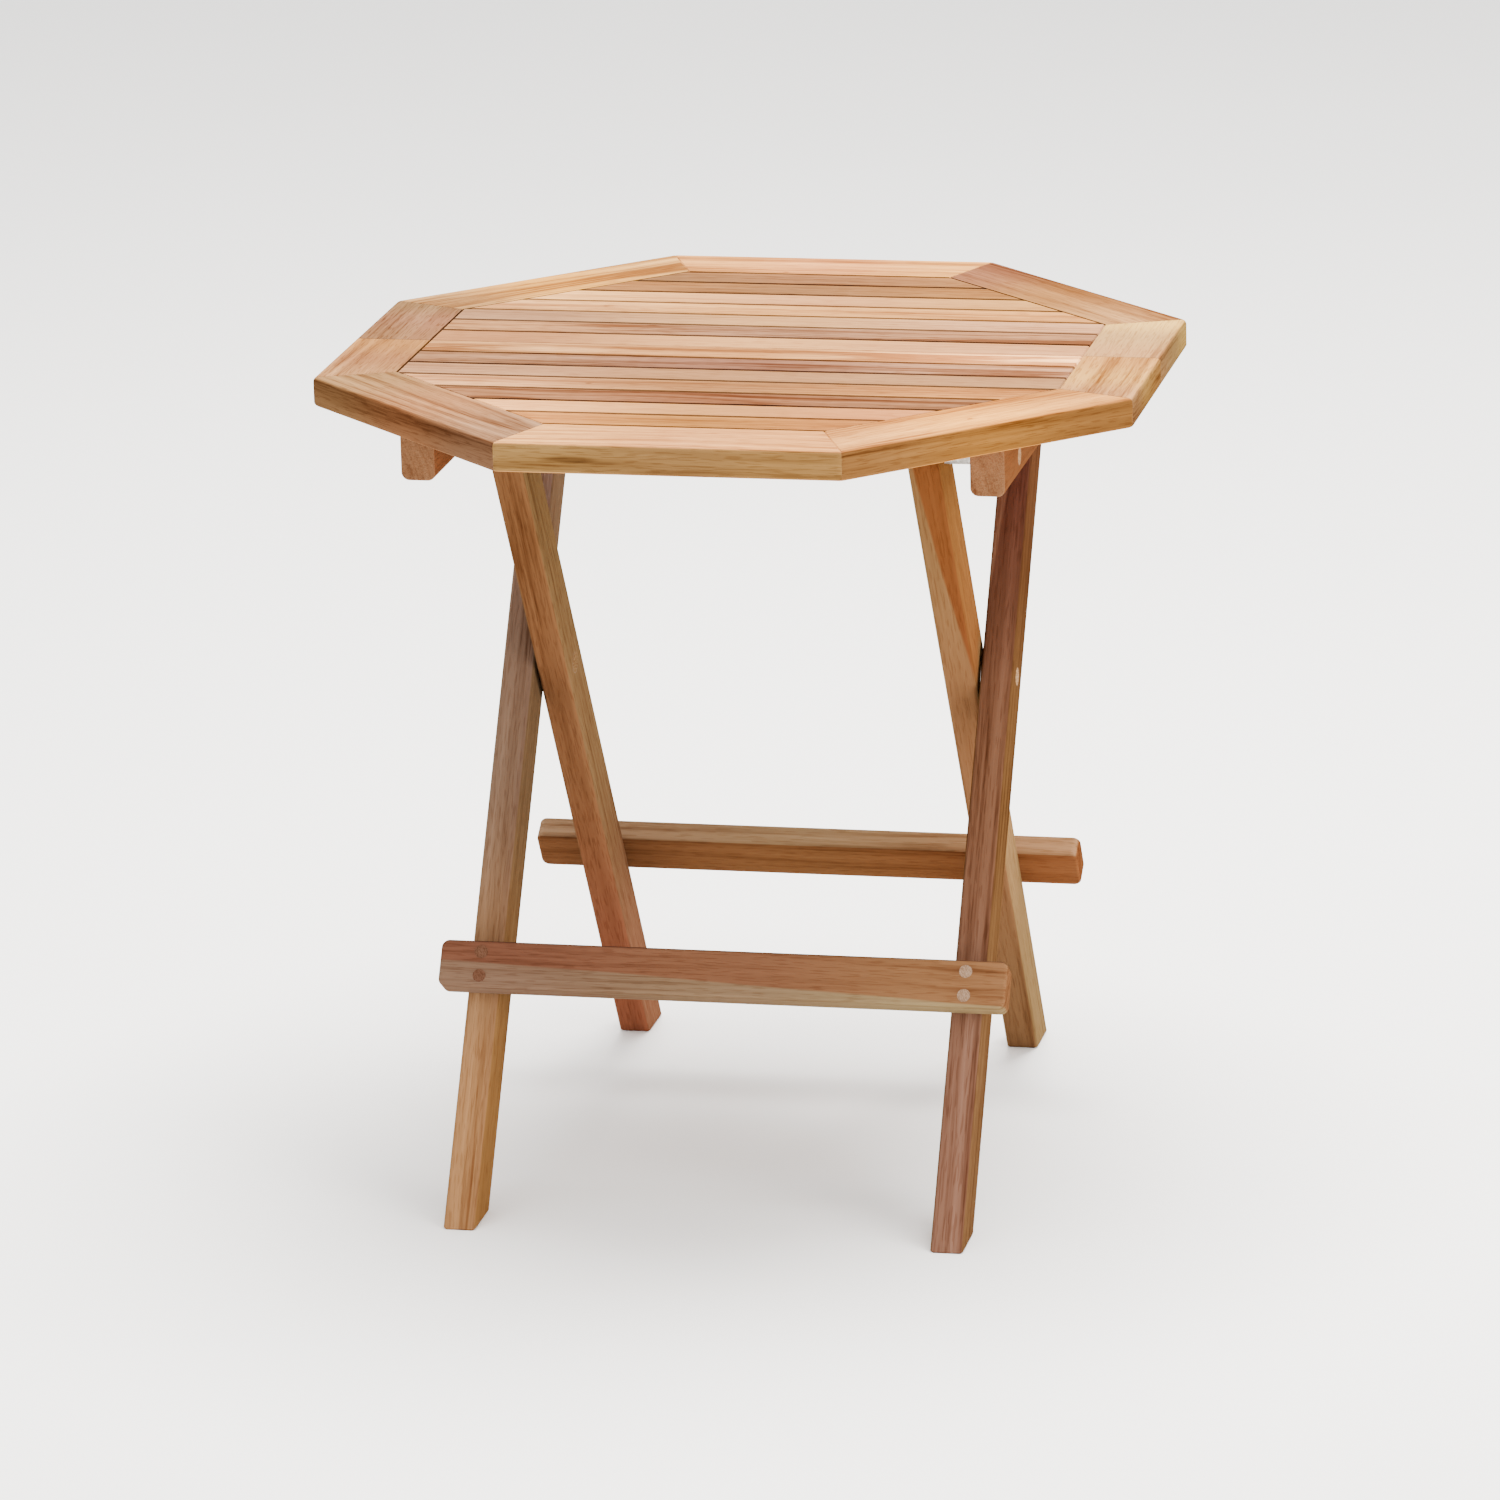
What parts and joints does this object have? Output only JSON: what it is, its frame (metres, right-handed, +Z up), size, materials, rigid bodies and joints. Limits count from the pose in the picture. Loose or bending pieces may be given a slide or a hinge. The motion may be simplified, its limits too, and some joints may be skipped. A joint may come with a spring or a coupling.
{
  "type": "folding_picnic_table",
  "caption": "Low folding hardwood picnic table with an octagonal slatted top in two halves on crossed leg frames joined by stretchers",
  "frame": {"origin": "On the floor, under the middle of the top.", "axes": "+Z up. +X to the right along the slats. +Y to the back, so the outer legs stand forward on -Y and the inner legs on +Y."},
  "size_m": [0.5, 0.5, 0.5],
  "materials": {
    "slat_wood": "satin",
    "border_wood": "satin",
    "frame_wood": "satin",
    "plug_wood": "satin",
    "spline_wood": "satin",
    "brass_hardware": "satin",
    "plated_steel": "satin"
  },
  "bodies": {
    "back_half": {"back_batten_plugs": "plug_wood", "back_batten_screws": "plated_steel", "back_border": "border_wood", "back_hinge_leaves": "brass_hardware", "back_hinge_screws": "brass_hardware", "back_left_batten": "frame_wood", "back_left_border": "border_wood", "back_mitre_splines": "spline_wood", "back_pivot_bolts": "plated_steel", "back_pivot_nuts": "plated_steel", "back_pivot_washers": "plated_steel", "back_right_batten": "frame_wood", "back_right_border": "border_wood", "back_slat_1": "slat_wood", "back_slat_2": "slat_wood", "back_slat_3": "slat_wood", "back_slat_4": "slat_wood", "back_slat_5": "slat_wood", "back_slat_6": "slat_wood", "back_slat_7": "slat_wood", "hinge_pins": "brass_hardware", "left_back_border": "border_wood", "right_back_border": "border_wood"},
    "front_half": {"front_batten_plugs": "plug_wood", "front_batten_screws": "plated_steel", "front_border": "border_wood", "front_hinge_leaves": "brass_hardware", "front_hinge_screws": "brass_hardware", "front_left_batten": "frame_wood", "front_left_border": "border_wood", "front_mitre_splines": "spline_wood", "front_pivot_bolts": "plated_steel", "front_pivot_spacers": "plated_steel", "front_right_batten": "frame_wood", "front_right_border": "border_wood", "front_slat_1": "slat_wood", "front_slat_2": "slat_wood", "front_slat_3": "slat_wood", "front_slat_4": "slat_wood", "front_slat_5": "slat_wood", "front_slat_6": "slat_wood", "front_slat_7": "slat_wood", "left_front_border": "border_wood", "right_front_border": "border_wood"},
    "outer_frame": {"crossing_bolts": "plated_steel", "crossing_nuts": "plated_steel", "crossing_washers": "plated_steel", "front_stretcher": "frame_wood", "front_stretcher_plugs": "plug_wood", "front_stretcher_screws": "plated_steel", "outer_left_leg": "frame_wood", "outer_leg_plugs": "plug_wood", "outer_right_leg": "frame_wood"},
    "inner_frame": {"front_pivot_sleeve_nuts": "plated_steel", "inner_left_leg": "frame_wood", "inner_leg_plugs": "plug_wood", "inner_right_leg": "frame_wood", "rear_stretcher": "frame_wood", "rear_stretcher_plugs": "plug_wood", "rear_stretcher_screws": "plated_steel"}
  },
  "joints": [
    {"name": "centre_fold", "type": "hinge", "parent": "back_half", "child": "front_half", "pos_m": [0, 0, 0.4491], "axis": [1, 0, 0], "range_deg": [0, 180]},
    {"name": "back_pivots", "type": "hinge", "parent": "back_half", "child": "outer_frame", "pos_m": [0, 0.10955, 0.465], "axis": [1, 0, 0], "range_deg": [0, 118.7]},
    {"name": "scissor", "type": "hinge", "parent": "outer_frame", "child": "inner_frame", "pos_m": [0, 0, 0.298], "axis": [-1, 0, 0], "range_deg": [0, 57.4]}
  ],
  "couplings": [
    {"joint": "back_pivots", "follows": "centre_fold", "ratio": 0.65944},
    {"joint": "scissor", "follows": "centre_fold", "ratio": 0.31888}
  ]
}
